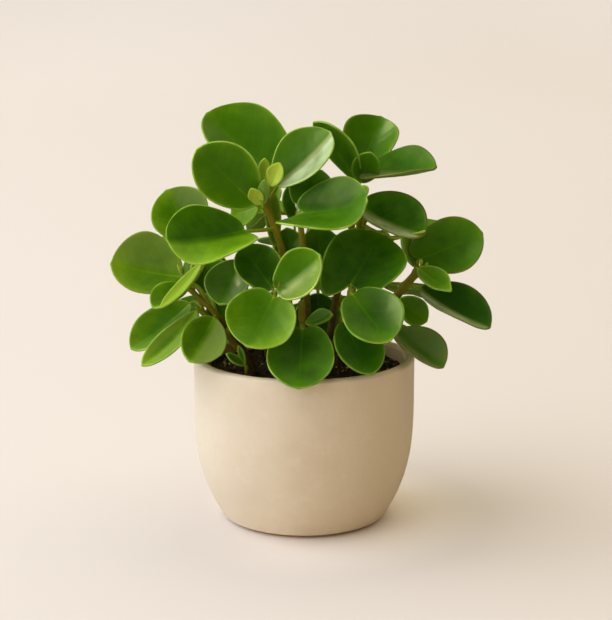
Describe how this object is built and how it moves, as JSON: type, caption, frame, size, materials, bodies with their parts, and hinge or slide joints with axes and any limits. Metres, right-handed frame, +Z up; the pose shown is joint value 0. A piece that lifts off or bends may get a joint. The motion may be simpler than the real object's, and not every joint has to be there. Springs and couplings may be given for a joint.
{
  "type": "potted baby rubber plant",
  "caption": "Bushy potted plant with thick round glossy leaves on short stems, in a plain matte bowl-shaped pot that tapers to its foot.",
  "frame": {"origin": "centre of the pot's flat foot, on the surface it stands on", "axes": "+Z up along the pot's axis, -Y towards the plant's front, +X to the right as seen from the front"},
  "size_m": [0.235, 0.1811, 0.2618],
  "materials": {
    "pot_clay": "matt, faintly mottled beige",
    "soil_earth": "loose dark potting soil with small tan bits",
    "leaf_green": "thick living leaf, glossy above and paler below"
  },
  "bodies": {
    "root": {"pot": "pot_clay", "soil": "soil_earth", "sprout_front": "leaf_green", "stem_back_left": "leaf_green", "stem_back_low_left": "leaf_green", "stem_back_low_right": "leaf_green", "stem_back_middle": "leaf_green", "stem_back_right": "leaf_green", "stem_crown_left": "leaf_green", "stem_crown_right": "leaf_green", "stem_front_left": "leaf_green", "stem_front_low": "leaf_green", "stem_front_right": "leaf_green", "stem_left": "leaf_green", "stem_low_left": "leaf_green", "stem_low_right": "leaf_green", "stem_middle": "leaf_green", "stem_right": "leaf_green", "stem_shoulder_right": "leaf_green"}
  },
  "joints": []
}
